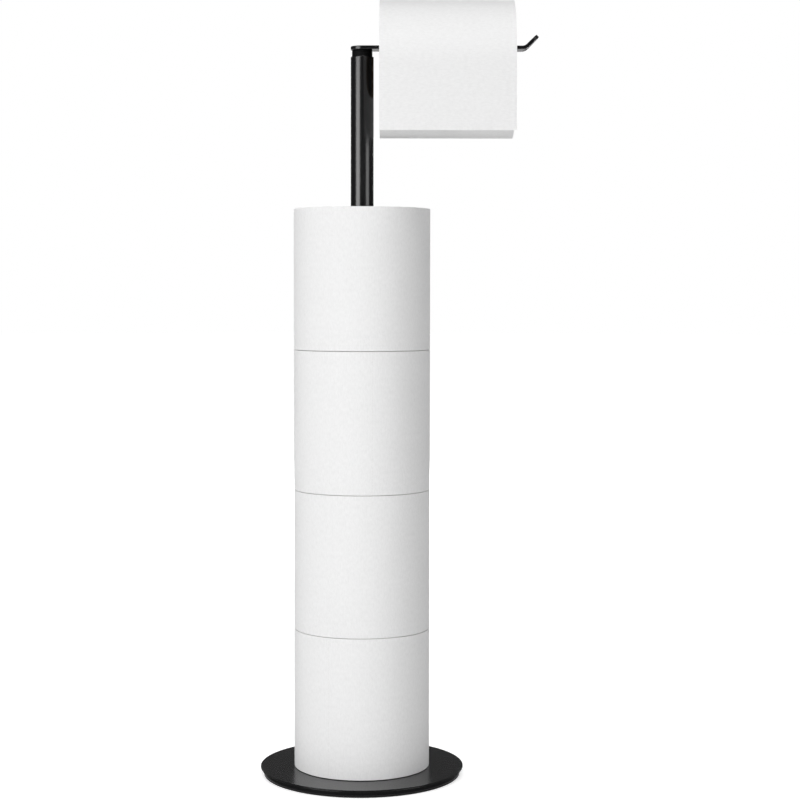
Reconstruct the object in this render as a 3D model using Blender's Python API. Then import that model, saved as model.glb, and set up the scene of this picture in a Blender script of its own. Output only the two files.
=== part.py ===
# Freestanding toilet paper holder: a weighted round base, a post that carries reserve rolls,
# and a flat arm on top of the post from which one roll in use hangs.
# Metres, +Z up. The origin is the centre of the base's underside, on the floor.
# +X runs along the arm to its free end, and the front faces -Y.
import bmesh
import bpy
from math import cos, pi, radians, sin, sqrt, tan

# Gaps and allowances
SEAT_GAP = 0.0002            # between hardware faces that rest on each other
ROLL_GAP = 0.0003            # between a roll and what it stands on, hangs from or is wound on
SLIDING_GAP = 0.00015        # round a shaft in its bore, on the radius
OVERRUN = 0.002              # how far a cutter runs past the face that it cuts
MERGE_DISTANCE = 0.000001    # closes the seam of a turned mesh

# Base: a thin cover over a weight, on a soft pad
BASE_RADIUS = 0.075
COVER_THICKNESS = 0.001
COVER_EDGE_ROUND = 0.0003
WEIGHT_INSET = 0.002
WEIGHT_EDGE_ROUND = 0.0008
PAD_INSET = 0.0004
PAD_THICKNESS = 0.001

# Base bolt, whose head is sunk into the weight
BOLT_RADIUS = 0.003
BOLT_HEAD_OVERHANG = 0.0028
BOLT_HEAD_HEIGHT = 0.0018
BOLT_SEAT_THICKNESS = 0.0014
BOLT_THREAD_REACH = 0.014
BOLT_SOCKET_WIDTH = 0.004
BOLT_SOCKET_DEPTH = 0.0012

# Post: a thin round tube with a slug in its foot
POST_RADIUS = 0.00835
POST_WALL = 0.0008
POST_EDGE_ROUND = 0.0004
FOOT_INSERT_LENGTH = 0.020

# Arm plug, which stands in the post's upper end, and the disc that stops it
PLUG_DEPTH = 0.040
NECK_HEIGHT = 0.004
PLUG_EDGE_ROUND = 0.0004
SEAT_DISC_THICKNESS = 0.004
WASHER_THICKNESS = 0.0005

# Arm strap: a flat bar with round ends, as wide as the post, and a bent-up tip
STRAP_THICKNESS = 0.0025
TIP_LENGTH = 0.0125
TIP_ANGLE = radians(45)
BEND_RADIUS = 0.0045

# Arm screw, countersunk into the strap
SCREW_RADIUS = 0.002
SCREW_LENGTH = 0.014
COUNTERSINK_LAND = 0.0004
COUNTERSINK_ANGLE = radians(90)
SCREW_SOCKET_WIDTH = 0.0025
SCREW_SOCKET_DEPTH = 0.0012

# Reserve rolls, stacked round the post
RESERVE_ROLL_COUNT = 4
RESERVE_ROLL_RADIUS = 0.050
RESERVE_ROLL_LENGTH = 0.1024
ROLL_EDGE_ROUND = 0.0012
CORE_BORE_RADIUS = 0.019
CORE_WALL = 0.0008

# Roll in use, and the end of its sheet that comes over the top and hangs down in front
HANGING_ROLL_RADIUS = 0.0493
HANGING_ROLL_LENGTH = 0.0968
ROLL_TO_POST = 0.0045
ROLL_TO_BEND = 0.0083
ROOM_OVER_STACK = 0.0516
TAIL_GAP = 0.0002
TAIL_THICKNESS = 0.0003
TAIL_DROP = 0.0478           # how far the sheet hangs below the roll's axis
TAIL_START_ANGLE = radians(20)   # how far behind the top the sheet leaves the roll

# How finely round shapes are faceted
BASE_SEGMENTS = 72
ROLL_SEGMENTS = 64
CORE_SEGMENTS = 40
POST_SEGMENTS = 40
SMALL_SEGMENTS = 24
ROUND_STEPS = 2
END_STEPS = 8
BEND_STEPS = 6
WRAP_STEPS = 20
HEX_SIDES = 6
SHARP_ANGLE = radians(30)

# Heights of the base, from the floor up
WEIGHT_BOTTOM = PAD_THICKNESS + SEAT_GAP
BOLT_BOTTOM = WEIGHT_BOTTOM + SEAT_GAP
BOLT_SEAT_HEIGHT = BOLT_BOTTOM + BOLT_HEAD_HEIGHT + SEAT_GAP
WEIGHT_TOP = BOLT_SEAT_HEIGHT + BOLT_SEAT_THICKNESS
COVER_BOTTOM = WEIGHT_TOP + SEAT_GAP
COVER_TOP = COVER_BOTTOM + COVER_THICKNESS
POST_BOTTOM = COVER_TOP + SEAT_GAP

# The stack of reserve rolls
STACK_BOTTOM = COVER_TOP + ROLL_GAP
ROLL_PITCH = RESERVE_ROLL_LENGTH + ROLL_GAP
STACK_TOP = STACK_BOTTOM + RESERVE_ROLL_COUNT * ROLL_PITCH - ROLL_GAP

# The roll in use hangs with the top of its core on the strap's two upper edges
HANGING_AXIS_HEIGHT = STACK_TOP + ROOM_OVER_STACK + HANGING_ROLL_RADIUS
CORE_TO_STRAP_EDGE = CORE_BORE_RADIUS - ROLL_GAP
STRAP_TOP = HANGING_AXIS_HEIGHT + sqrt(CORE_TO_STRAP_EDGE ** 2 - POST_RADIUS ** 2)
STRAP_BOTTOM = STRAP_TOP - STRAP_THICKNESS
WASHER_BOTTOM = STRAP_BOTTOM - SEAT_GAP - WASHER_THICKNESS
PLUG_TOP = WASHER_BOTTOM - SEAT_GAP
POST_TOP = PLUG_TOP - NECK_HEIGHT
PLUG_BOTTOM = POST_TOP - PLUG_DEPTH
SEAT_DISC_BOTTOM = PLUG_BOTTOM - SEAT_GAP - SEAT_DISC_THICKNESS

# Radii and lengths that fit one piece to another
POST_BORE_RADIUS = POST_RADIUS - POST_WALL
PLUG_RADIUS = POST_BORE_RADIUS - SLIDING_GAP
BOLT_HOLE_RADIUS = BOLT_RADIUS + SLIDING_GAP
BOLT_HEAD_RADIUS = BOLT_RADIUS + BOLT_HEAD_OVERHANG
BOLT_TOP = POST_BOTTOM + BOLT_THREAD_REACH
WEIGHT_RADIUS = BASE_RADIUS - WEIGHT_INSET
PAD_RADIUS = WEIGHT_RADIUS - PAD_INSET
SCREW_HOLE_RADIUS = SCREW_RADIUS + SLIDING_GAP
COUNTERSINK_DEPTH = STRAP_THICKNESS - COUNTERSINK_LAND
SCREW_HEAD_RADIUS = SCREW_RADIUS + COUNTERSINK_DEPTH * tan(COUNTERSINK_ANGLE / 2)
SCREW_BOTTOM = STRAP_TOP - SCREW_LENGTH
CORE_RADIUS = CORE_BORE_RADIUS + CORE_WALL
PAPER_BORE_RADIUS = CORE_RADIUS + ROLL_GAP
HANGING_ROLL_START = POST_RADIUS + ROLL_TO_POST
STRAP_REACH = HANGING_ROLL_START + HANGING_ROLL_LENGTH + ROLL_TO_BEND


def finish(name, colour, roughness, metallic):
    """A plain Principled material with linear colour values."""
    material = bpy.data.materials.new(name)
    material.use_nodes = True
    shader = material.node_tree.nodes["Principled BSDF"]
    shader.inputs["Base Color"].default_value = (*colour, 1)
    shader.inputs["Roughness"].default_value = roughness
    shader.inputs["Metallic"].default_value = metallic
    material.diffuse_color = (*colour, 1)
    return material


def axis_marker(name, parent, location):
    """An empty on a joint's axis, which carries the pieces that move there."""
    marker = bpy.data.objects.new(name, None)
    marker.parent = parent
    marker.location = location
    bpy.context.scene.collection.objects.link(marker)
    return marker


def add_object(name, bm, material, parent=None, location=(0, 0, 0), rotation=(0, 0, 0)):
    """Turn a bmesh into a smooth-shaded object under its parent."""
    mesh = bpy.data.meshes.new(name)
    bm.to_mesh(mesh)
    bm.free()
    if material is not None:
        mesh.materials.append(material)
    mesh.shade_smooth()
    mesh.set_sharp_from_angle(angle=SHARP_ANGLE)
    piece = bpy.data.objects.new(name, mesh)
    piece.parent = parent
    piece.location = location
    piece.rotation_euler = rotation
    bpy.context.scene.collection.objects.link(piece)
    return piece


def rounded(radius, height, size, start):
    """Profile points of a round corner, which turns a quarter from the angle start."""
    if start == 0:
        centre = (radius - size, height - size)
    else:
        centre = (radius - size, height + size)
    angles = [start + pi / 2 * step / ROUND_STEPS for step in range(ROUND_STEPS + 1)]
    return [(centre[0] + size * cos(angle), centre[1] + size * sin(angle)) for angle in angles]


def turned_bmesh(profile, segments, closed):
    """Spin a profile of (radius, height) points round Z. A closed profile makes a ring."""
    bm = bmesh.new()
    points = [bm.verts.new((radius, 0, height)) for radius, height in profile]
    edges = [bm.edges.new(pair) for pair in zip(points, points[1:])]
    if closed:
        edges.append(bm.edges.new((points[-1], points[0])))
    bmesh.ops.spin(bm, geom=points + edges, axis=(0, 0, 1), cent=(0, 0, 0),
                   angle=2 * pi, steps=segments)
    bmesh.ops.remove_doubles(bm, verts=bm.verts, dist=MERGE_DISTANCE)
    bmesh.ops.recalc_face_normals(bm, faces=bm.faces)
    return bm


def turned(name, profile, segments, material, closed=False, **placing):
    return add_object(name, turned_bmesh(profile, segments, closed), material, **placing)


def strip_bmesh(stations):
    """An open strip of faces across pairs of points. A pair that meets makes a triangle."""
    bm = bmesh.new()
    rows = [(bm.verts.new(left), bm.verts.new(right)) for left, right in stations]
    for (left, right), (next_left, next_right) in zip(rows, rows[1:]):
        bm.faces.new((left, right, next_right, next_left))
    bmesh.ops.remove_doubles(bm, verts=bm.verts, dist=MERGE_DISTANCE)
    return bm


def thicken(piece, thickness):
    """Give an open strip its thickness, on the side away from its normals."""
    wall = piece.modifiers.new("thickness", "SOLIDIFY")
    wall.thickness = thickness
    wall.offset = -1
    wall.use_even_offset = True


def cut(piece, cutter):
    """Cut a hidden tool's shape out of a piece."""
    cutter.hide_render = True
    cutter.display_type = "WIRE"
    hole = piece.modifiers.new(cutter.name, "BOOLEAN")
    hole.operation = "DIFFERENCE"
    hole.solver = "EXACT"
    hole.object = cutter


def hex_tool(name, width, low, high, **placing):
    """A six-sided cutter, width across its flats, between two heights."""
    radius = width / 2 / cos(pi / HEX_SIDES)
    profile = [(0, low), (radius, low), (radius, high), (0, high)]
    return turned(name, profile, HEX_SIDES, None, **placing)


def build_base(metal, soft, fastener):
    turned("floor_pad", [(0, 0), (PAD_RADIUS, 0), (PAD_RADIUS, PAD_THICKNESS), (0, PAD_THICKNESS)],
           BASE_SEGMENTS, soft)

    weight_profile = [
        (BOLT_HEAD_RADIUS + SLIDING_GAP, WEIGHT_BOTTOM),
        *rounded(WEIGHT_RADIUS, WEIGHT_BOTTOM, WEIGHT_EDGE_ROUND, -pi / 2),
        (WEIGHT_RADIUS, WEIGHT_TOP),
        (BOLT_HOLE_RADIUS, WEIGHT_TOP),
        (BOLT_HOLE_RADIUS, BOLT_SEAT_HEIGHT),
        (BOLT_HEAD_RADIUS + SLIDING_GAP, BOLT_SEAT_HEIGHT),
    ]
    turned("base_weight", weight_profile, BASE_SEGMENTS, metal, closed=True)

    cover_profile = [
        (BOLT_HOLE_RADIUS, COVER_BOTTOM),
        *rounded(BASE_RADIUS, COVER_BOTTOM, COVER_EDGE_ROUND, -pi / 2),
        *rounded(BASE_RADIUS, COVER_TOP, COVER_EDGE_ROUND, 0),
        (BOLT_HOLE_RADIUS, COVER_TOP),
    ]
    turned("base_cover", cover_profile, BASE_SEGMENTS, metal, closed=True)

    bolt_profile = [
        (0, BOLT_BOTTOM),
        (BOLT_HEAD_RADIUS, BOLT_BOTTOM),
        (BOLT_HEAD_RADIUS, BOLT_BOTTOM + BOLT_HEAD_HEIGHT),
        (BOLT_RADIUS, BOLT_BOTTOM + BOLT_HEAD_HEIGHT),
        (BOLT_RADIUS, BOLT_TOP),
        (0, BOLT_TOP),
    ]
    bolt = turned("base_bolt", bolt_profile, SMALL_SEGMENTS, fastener)
    cut(bolt, hex_tool("bolt_socket_tool", BOLT_SOCKET_WIDTH,
                       BOLT_BOTTOM - OVERRUN, BOLT_BOTTOM + BOLT_SOCKET_DEPTH))


def build_post(metal, fastener):
    post_profile = [
        (POST_BORE_RADIUS, POST_BOTTOM),
        (POST_RADIUS, POST_BOTTOM),
        *rounded(POST_RADIUS, POST_TOP, POST_EDGE_ROUND, 0),
        (POST_BORE_RADIUS, POST_TOP),
    ]
    turned("post_tube", post_profile, POST_SEGMENTS, metal, closed=True)

    insert_top = POST_BOTTOM + FOOT_INSERT_LENGTH
    insert_profile = [
        (BOLT_HOLE_RADIUS, POST_BOTTOM),
        (PLUG_RADIUS, POST_BOTTOM),
        (PLUG_RADIUS, insert_top),
        (BOLT_HOLE_RADIUS, insert_top),
    ]
    turned("post_foot_insert", insert_profile, POST_SEGMENTS, fastener, closed=True)

    disc_top = SEAT_DISC_BOTTOM + SEAT_DISC_THICKNESS
    disc_profile = [(0, SEAT_DISC_BOTTOM), (PLUG_RADIUS, SEAT_DISC_BOTTOM),
                    (PLUG_RADIUS, disc_top), (0, disc_top)]
    turned("arm_seat_disc", disc_profile, POST_SEGMENTS, fastener)


def build_arm_plug(metal, plastic, fastener):
    """The plug that lifts out of the post, and the screw and washer on which the strap turns."""
    lift_axis = axis_marker("arm_lift_axis", None, (0, 0, POST_TOP))
    at_lift_axis = {"parent": lift_axis, "location": (0, 0, -POST_TOP)}

    hole_bottom = SCREW_BOTTOM - SEAT_GAP
    plug_profile = [
        (0, PLUG_BOTTOM),
        *rounded(PLUG_RADIUS, PLUG_BOTTOM, PLUG_EDGE_ROUND, -pi / 2),
        *rounded(PLUG_RADIUS, PLUG_TOP, PLUG_EDGE_ROUND, 0),
        (SCREW_HOLE_RADIUS, PLUG_TOP),
        (SCREW_HOLE_RADIUS, hole_bottom),
        (0, hole_bottom),
    ]
    turned("arm_plug", plug_profile, POST_SEGMENTS, metal, **at_lift_axis)

    washer_top = WASHER_BOTTOM + WASHER_THICKNESS
    washer_profile = [
        (SCREW_HOLE_RADIUS, WASHER_BOTTOM),
        (PLUG_RADIUS, WASHER_BOTTOM),
        (PLUG_RADIUS, washer_top),
        (SCREW_HOLE_RADIUS, washer_top),
    ]
    turned("swivel_washer", washer_profile, POST_SEGMENTS, plastic, closed=True, **at_lift_axis)

    screw_profile = [
        (0, SCREW_BOTTOM),
        (SCREW_RADIUS, SCREW_BOTTOM),
        (SCREW_RADIUS, STRAP_TOP - COUNTERSINK_DEPTH),
        (SCREW_HEAD_RADIUS, STRAP_TOP),
        (0, STRAP_TOP),
    ]
    screw = turned("arm_screw", screw_profile, SMALL_SEGMENTS, fastener, **at_lift_axis)
    cut(screw, hex_tool("screw_socket_tool", SCREW_SOCKET_WIDTH,
                        STRAP_TOP - SCREW_SOCKET_DEPTH, STRAP_TOP + OVERRUN, **at_lift_axis))
    return lift_axis


def strap_stations():
    """Pairs of points across the strap's upper face, from the head's end to the tip's end."""
    half_width = POST_RADIUS
    bend_inset = BEND_RADIUS * tan(TIP_ANGLE / 2)
    bend_start = STRAP_REACH - bend_inset
    bend_end = bend_start + BEND_RADIUS * TIP_ANGLE
    tip_end = bend_end + TIP_LENGTH - bend_inset
    tip_centre = tip_end - half_width

    quarter = [pi / 2 * step / END_STEPS for step in range(END_STEPS + 1)]
    bend_length = bend_end - bend_start
    places = [-half_width * cos(angle) for angle in quarter]
    places += [bend_start + bend_length * step / BEND_STEPS for step in range(BEND_STEPS + 1)]
    places += [tip_centre + half_width * sin(angle) for angle in quarter]

    stations = []
    for place in sorted(places):
        along = min(place, bend_start)
        turn = min(max(place - bend_start, 0), bend_length) / BEND_RADIUS
        leg = max(place - bend_end, 0)
        x = along + BEND_RADIUS * sin(turn) + leg * cos(turn)
        z = STRAP_THICKNESS + BEND_RADIUS * (1 - cos(turn)) + leg * sin(turn)
        beyond = max(-place, place - tip_centre, 0)
        width = sqrt(max(half_width ** 2 - beyond ** 2, 0))
        stations.append(((x, width, z), (x, -width, z)))
    return stations


def build_arm_strap(metal, lift_axis):
    """The strap's frame lies on its pivot, at the height of its underside."""
    swivel_axis = axis_marker("arm_swivel_axis", lift_axis, (0, 0, STRAP_BOTTOM - POST_TOP))
    strap = add_object("arm_strap", strip_bmesh(strap_stations()), metal, parent=swivel_axis)
    thicken(strap, STRAP_THICKNESS)

    cone_foot = STRAP_THICKNESS - COUNTERSINK_DEPTH
    cone_growth = OVERRUN * tan(COUNTERSINK_ANGLE / 2)
    hole_profile = [
        (0, -OVERRUN),
        (SCREW_HOLE_RADIUS, -OVERRUN),
        (SCREW_HOLE_RADIUS, cone_foot),
        (SCREW_HEAD_RADIUS + SLIDING_GAP + cone_growth, STRAP_THICKNESS + OVERRUN),
        (0, STRAP_THICKNESS + OVERRUN),
    ]
    cut(strap, turned("countersink_tool", hole_profile, SMALL_SEGMENTS, None, parent=swivel_axis))
    return swivel_axis


def roll_profile(radius, length):
    """Section of the wound paper, from the lower end up."""
    return [
        (PAPER_BORE_RADIUS, 0),
        *rounded(radius, 0, ROLL_EDGE_ROUND, -pi / 2),
        *rounded(radius, length, ROLL_EDGE_ROUND, 0),
        (PAPER_BORE_RADIUS, length),
    ]


def core_profile(length):
    return [(CORE_BORE_RADIUS, 0), (CORE_RADIUS, 0), (CORE_RADIUS, length), (CORE_BORE_RADIUS, length)]


def build_reserve_rolls(paper, card):
    """Each roll hangs on the marker of the roll under it, so lifting one lifts those above."""
    below = axis_marker("reserve_stack_axis", None, (0, 0, STACK_BOTTOM - ROLL_PITCH))
    for number in range(1, RESERVE_ROLL_COUNT + 1):
        below = axis_marker(f"reserve_roll_{number}_axis", below, (0, 0, ROLL_PITCH))
        turned(f"reserve_roll_{number}_paper", roll_profile(RESERVE_ROLL_RADIUS, RESERVE_ROLL_LENGTH),
               ROLL_SEGMENTS, paper, closed=True, parent=below)
        turned(f"reserve_roll_{number}_core", core_profile(RESERVE_ROLL_LENGTH),
               CORE_SEGMENTS, card, closed=True, parent=below)


def build_hanging_roll(paper, card, swivel_axis):
    roll_axis = axis_marker("hanging_roll_axis", swivel_axis,
                            (HANGING_ROLL_START, 0, HANGING_AXIS_HEIGHT - STRAP_BOTTOM))
    on_its_side = {"closed": True, "parent": roll_axis, "rotation": (0, pi / 2, 0)}
    turned("hanging_roll_paper", roll_profile(HANGING_ROLL_RADIUS, HANGING_ROLL_LENGTH),
           ROLL_SEGMENTS, paper, **on_its_side)
    turned("hanging_roll_core", core_profile(HANGING_ROLL_LENGTH), CORE_SEGMENTS, card, **on_its_side)


def build_tail_sheet(paper, swivel_axis):
    """The loose end of the sheet: over the roll's top, then straight down in front of it."""
    radius = HANGING_ROLL_RADIUS + TAIL_GAP + TAIL_THICKNESS
    sweep = TAIL_START_ANGLE + pi / 2
    angles = [TAIL_START_ANGLE - sweep * step / WRAP_STEPS for step in range(WRAP_STEPS + 1)]
    route = [(radius * sin(angle), radius * cos(angle)) for angle in angles]
    route.append((-radius, -TAIL_DROP))
    stations = [((0, y, z), (HANGING_ROLL_LENGTH, y, z)) for y, z in route]
    place = (HANGING_ROLL_START, 0, HANGING_AXIS_HEIGHT - STRAP_BOTTOM)
    tail = add_object("tail_sheet", strip_bmesh(stations), paper, parent=swivel_axis, location=place)
    tail.data.flip_normals()
    thicken(tail, TAIL_THICKNESS)


def main():
    for old in list(bpy.data.objects):
        bpy.data.objects.remove(old, do_unlink=True)

    black_metal = finish("black_powder_coat", (0.012, 0.012, 0.013), 0.38, 0.0)
    soft_pad = finish("black_foam_rubber", (0.010, 0.010, 0.010), 0.85, 0.0)
    zinc_steel = finish("zinc_plated_steel", (0.52, 0.53, 0.55), 0.35, 1.0)
    black_nylon = finish("black_nylon", (0.015, 0.015, 0.015), 0.50, 0.0)
    white_paper = finish("white_tissue", (0.86, 0.86, 0.86), 0.95, 0.0)
    grey_card = finish("grey_board", (0.45, 0.36, 0.26), 0.90, 0.0)

    build_base(black_metal, soft_pad, zinc_steel)
    build_post(black_metal, zinc_steel)
    lift_axis = build_arm_plug(black_metal, black_nylon, zinc_steel)
    swivel_axis = build_arm_strap(black_metal, lift_axis)
    build_reserve_rolls(white_paper, grey_card)
    build_hanging_roll(white_paper, grey_card, swivel_axis)
    build_tail_sheet(white_paper, swivel_axis)
    bpy.context.view_layer.update()


main()
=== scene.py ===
from functools import wraps
from math import atan2, cos, hypot, pi, radians, sin, tan
from random import Random

import bmesh
import bpy
from bpy.props import FloatProperty, FloatVectorProperty, PointerProperty
from mathutils import Matrix, Vector


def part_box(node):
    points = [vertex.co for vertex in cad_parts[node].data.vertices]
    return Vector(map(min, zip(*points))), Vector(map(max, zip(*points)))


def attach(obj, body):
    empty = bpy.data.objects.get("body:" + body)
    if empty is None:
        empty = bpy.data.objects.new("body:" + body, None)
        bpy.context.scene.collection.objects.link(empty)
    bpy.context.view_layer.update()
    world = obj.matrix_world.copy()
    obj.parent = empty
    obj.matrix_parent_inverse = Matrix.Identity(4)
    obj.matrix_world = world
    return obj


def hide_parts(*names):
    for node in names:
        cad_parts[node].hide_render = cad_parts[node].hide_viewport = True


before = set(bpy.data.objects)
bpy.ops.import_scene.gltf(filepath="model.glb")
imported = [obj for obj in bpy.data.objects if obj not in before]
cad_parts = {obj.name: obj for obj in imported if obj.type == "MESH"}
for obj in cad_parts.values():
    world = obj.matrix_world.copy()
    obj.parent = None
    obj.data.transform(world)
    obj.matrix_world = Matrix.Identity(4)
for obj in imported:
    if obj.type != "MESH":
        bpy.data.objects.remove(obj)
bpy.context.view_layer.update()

bl_info = {
    "name": "Freestanding toilet paper holder",
    "version": (1, 0, 0),
    "blender": (4, 5, 0),
    "location": "3D View > Sidebar > Holder",
    "description": "Builds the black metal stand, its rolls and the studio round the fixed frame",
    "category": "Add Mesh",
}

# Lowest and highest corners of the frame's pieces, which the new pieces are built from
PAD_LOW, PAD_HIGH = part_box("floor_pad")
WEIGHT_LOW, WEIGHT_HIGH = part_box("base_weight")
COVER_LOW, COVER_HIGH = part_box("base_cover")
POST_LOW, POST_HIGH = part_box("post_tube")
PLUG_LOW, PLUG_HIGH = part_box("arm_plug")
WASHER_LOW, WASHER_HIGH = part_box("swivel_washer")
SCREW_LOW, SCREW_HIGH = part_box("arm_screw")
STRAP_LOW, STRAP_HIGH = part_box("arm_strap")
ROLL_LOW, ROLL_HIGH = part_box("hanging_roll_paper")
HANGING_CORE_LOW, HANGING_CORE_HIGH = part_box("hanging_roll_core")
TAIL_LOW, TAIL_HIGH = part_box("tail_sheet")
RESERVE_LOW, RESERVE_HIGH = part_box("reserve_roll_1_paper")
RESERVE_CORE_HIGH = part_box("reserve_roll_1_core")[1]

# Sizes of the metal that a box doesn't give, in metres
SCREW_HOLE_RADIUS = 0.00215
BOLT_HOLE_RADIUS = 0.00315
BOLT_RECESS_RADIUS = 0.00595
BOLT_RECESS_DEPTH = 0.0022
SCREW_SHANK_RADIUS = 0.002
SCREW_CONE_HEIGHT = 0.0021
SCREW_SOCKET_WIDTH = 0.0025
SCREW_SOCKET_DEPTH = 0.0012
CLEARANCE = 0.00015
ROLL_TO_BEND = 0.0083
OVERRUN = 0.002
PAD_BORDER = 0.02 * PAD_HIGH.x

# The rolls: layers are counted in sheet thicknesses, turns are in degrees
CORE_CLEARANCE = 0.0003
SEAM_STEP = 0.0003
RESERVE_LAYER = 1.2
RESERVE_SEED = 3
RESERVE_SEAM = pi / 2
RESERVE_TURNS = (15, -38, 52, -12)
HANGING_LAYER = 1.3
HANGING_ALLOWANCE = 0.6
HANGING_SEED = 8

# The sheet's loose end. It starts behind the roll's top, and its hanging part waves a little.
# Wave lengths are given per radian, and the standoff at the hem is counted in wave heights.
AXIS_HEIGHT = (ROLL_LOW.z + ROLL_HIGH.z) / 2
TAIL_DROP = AXIS_HEIGHT - TAIL_LOW.z
TAIL_START = radians(20)
TAIL_SLACK = 0.00025
TAIL_TOOTH = 0.0003
WAVE_HEIGHT = 0.0004
WAVE_LENGTH = 0.031
WAVE_DRIFT = 1.2
RIPPLE_LENGTH = 0.0117
RIPPLE_SHARE = 0.5
HEM_STANDOFF = 1.2

# How finely round shapes are divided
DISC_SIDES = 192
POST_SIDES = 96
SMALL_SIDES = 64
HEX_SIDES = 6
ROLL_SIDES = 192
CORE_SIDES = 96
ROLL_BANDS = 10
END_RINGS = 12
BEND_STEPS = 12
ARM_END_STEPS = 24
SPIN_STEPS = 48
SHEET_COLUMNS = 96
SHEET_ROWS = 24
SMOOTH_ANGLE = radians(30)
SHARP_ANGLE = radians(60)
UPRIGHT = 0.9
TOUCH = 0.00001

# The studio. Where the lamps light the floor, a weaker lift is enough to make it white, and
# metal mirrors still less of it, so that it sees lamplight and lift together as plain white.
FLOOR_RADIUS = 14
FLOOR_BORDER = 13
FLOOR_SIDES = 64
LIFT_NEAR = 0.72
LIFT_MIRRORED = 0.6
FADE_NEAR = 0.3
FADE_FAR = 1.6
CURTAIN_RADIUS = 3
CURTAIN_HEIGHT = 3.2
CURTAIN_SIDES = 48
CURTAIN_BACK = 2.2
CURTAIN_RISE = 0.15
# The dark ring round the base, seen only in reflections, is a painted shadow
SHADOW_CLOTH_RADIUS = 0.30
SHADOW_CLOTH_HEIGHT = 0.0005
SHADOW_CLOTH_SIDES = 64
AMBIENT = 0.02

# The lamps. Each row holds a name, the angle in degrees from the camera's side towards the
# right, height, distance, width and height of its face, radiance, and whether metal mirrors it.
# A weak one in front and a broad one behind aren't mirrored, because the photograph's metal
# shows neither. Two narrow strips behind give the metal its gleam from there.
LAMPS = (
    ("key_softbox", -42.5, 0.48, 1.7, 1.18, 0.70, 7.2, True),
    ("fill_softbox", 56, 0.45, 1.8, 0.97, 0.58, 4.1, True),
    ("front_softbox", 25, 0.25, 1.8, 1.1, 0.8, 0.4, False),
    ("top_softbox", 0, 2.6, 0.3, 1.0, 1.0, 8.3, True),
    ("high_softbox", 78, 2.6, 2.2, 1.4, 1.0, 1.1, True),
    ("low_softbox", 15, 0.15, 1.5, 1.2, 0.25, 1.6, True),
    ("back_softbox", -173, 0.95, 2.3, 1.4, 1.2, 6.2, False),
    ("left_strip", -163, 0.5, 2.3, 0.12, 1.0, 6.0, True),
    ("right_strip", 160, 0.5, 2.3, 0.12, 1.0, 6.0, True),
)
LAMP_TARGET = Vector((0.02, 0, 0.30))

# The camera, found from the photograph's round edges
CAMERA_LENS = 84.283
CAMERA_PLACE = (0.02777, -1.37504, 0.35793)
CAMERA_PITCH = radians(-3.3641)
CAMERA_ROLL = radians(-0.0941)


def linear(code):
    """Turn an sRGB colour such as #1B1B1C into linear red, green, blue and alpha."""
    parts = [int(code[start:start + 2], 16) / 255 for start in (1, 3, 5)]
    return (*(part / 12.92 if part <= 0.04045 else ((part + 0.055) / 1.055) ** 2.4 for part in parts), 1)


class HolderSizes(bpy.types.PropertyGroup):
    """Sizes that the frame leaves open."""
    metal_edge: FloatProperty(
        name="Metal edge", description="Rounding of the sheared and coated metal edges",
        default=0.0003, min=0, unit="LENGTH")
    post_edge: FloatProperty(
        name="Post rim", description="Rounding of the post's upper rim",
        default=0.0005, min=0, unit="LENGTH")
    tip_length: FloatProperty(
        name="Tip length", description="Length of the arm's bent-up tip from the bend's corner",
        default=0.0125, min=0.009, unit="LENGTH")
    tip_angle: FloatProperty(
        name="Tip angle", description="How far the arm's tip is bent up",
        default=radians(45), unit="ROTATION")
    bend_radius: FloatProperty(
        name="Bend radius", description="Radius of the arm's bend on its upper face",
        default=0.0045, min=0.001, unit="LENGTH")
    roll_edge: FloatProperty(
        name="Roll edge", description="Rounding of a paper roll's outer edges",
        default=0.0004, min=0, unit="LENGTH")
    core_wall: FloatProperty(
        name="Core wall", description="Thickness of a roll's cardboard core",
        default=0.0008, min=0.0003, unit="LENGTH")
    sheet_thickness: FloatProperty(
        name="Sheet thickness", description="Thickness of the soft two-ply sheet",
        default=0.0002, min=0.0001, unit="LENGTH")
    sheet_length: FloatProperty(
        name="Sheet length", description="Distance between two perforations",
        default=0.120, min=0.05, unit="LENGTH")
    end_unevenness: FloatProperty(
        name="End unevenness", description="How far layers sink at a roll's ends",
        default=0.00035, min=0, unit="LENGTH")


class HolderColours(bpy.types.PropertyGroup):
    """Colours of the finishes."""
    coat: FloatVectorProperty(
        name="Powder coat", description="Black powder coat of the metal",
        default=linear("#0E0E0F"), size=4, subtype="COLOR", min=0, max=1)
    tissue: FloatVectorProperty(
        name="Tissue", description="Bleached white tissue",
        default=linear("#F6F6F6"), size=4, subtype="COLOR", min=0, max=1)
    tissue_shade: FloatVectorProperty(
        name="Tissue shade", description="Thin and pressed places of the tissue",
        default=linear("#EBEBEB"), size=4, subtype="COLOR", min=0, max=1)
    board: FloatVectorProperty(
        name="Core board", description="Grey-brown recycled board of the cores",
        default=linear("#A8957B"), size=4, subtype="COLOR", min=0, max=1)


# Selecting and shaping, as by hand

def choose(piece):
    """Select one piece alone and make it the active one."""
    bpy.ops.object.select_all(action="DESELECT")
    piece.select_set(True)
    bpy.context.view_layer.objects.active = piece


def start(kind, **settings):
    """Add a primitive with nothing else selected, and open it for editing."""
    bpy.ops.object.select_all(action="DESELECT")
    getattr(bpy.ops.mesh, f"primitive_{kind}_add")(**settings)
    bpy.ops.object.transform_apply(location=True, rotation=True, scale=True)
    bpy.ops.object.mode_set(mode="EDIT")
    return bpy.context.active_object


def cylinder(radius, low, high, sides):
    """A closed cylinder round Z from one height to another, open for editing."""
    middle = (low + high) / 2
    return start("cylinder", vertices=sides, radius=radius, depth=high - low, location=(0, 0, middle))


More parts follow.
